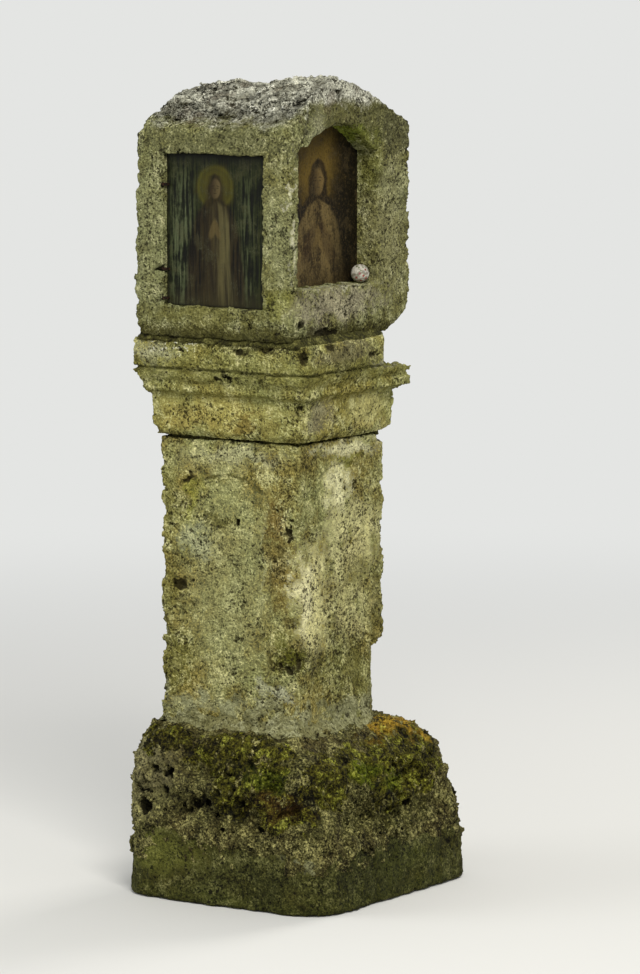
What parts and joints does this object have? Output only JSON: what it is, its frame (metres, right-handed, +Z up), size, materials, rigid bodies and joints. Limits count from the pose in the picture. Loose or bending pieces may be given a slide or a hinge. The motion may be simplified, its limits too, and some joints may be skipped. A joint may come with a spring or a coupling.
{
  "type": "wayside shrine",
  "caption": "Weathered stone wayside shrine: a moulded pillar on a rough base, carrying a gabled picture house with niches.",
  "frame": {"origin": "on the ground, at the middle of the shrine's outline seen from above", "axes": "+Z up; the front, with its rectangular picture, faces -Y, and +X points at the gable side whose niche holds the painted stone"},
  "size_m": [0.618, 0.717, 2.029],
  "materials": {
    "stone": "rough, porous, weathered",
    "roof_stone": "rough, pitted, lichened",
    "base_stone": "rough, porous, mossy",
    "mortar": "matt, weathered",
    "painted_sheet": "satin, worn",
    "painted_board": "satin, worn paint",
    "painted_pebble": "satin",
    "iron": "matt, rusted"
  },
  "bodies": {
    "root": {"footing": "mortar", "base_block": "base_stone", "foot_haunch": "mortar", "shaft": "stone", "neck_bed": "mortar", "capital": "stone", "head_bed": "mortar", "head_block": "stone", "roof_bed": "mortar", "roof_block": "roof_stone", "front_picture": "painted_sheet", "back_picture": "painted_sheet", "right_niche_board": "painted_board", "left_niche_board": "painted_board", "votive_stone": "painted_pebble", "front_wedge_1": "iron", "front_wedge_2": "iron", "front_wedge_3": "iron", "back_wedge_1": "iron", "back_wedge_2": "iron", "back_wedge_3": "iron"}
  },
  "joints": []
}
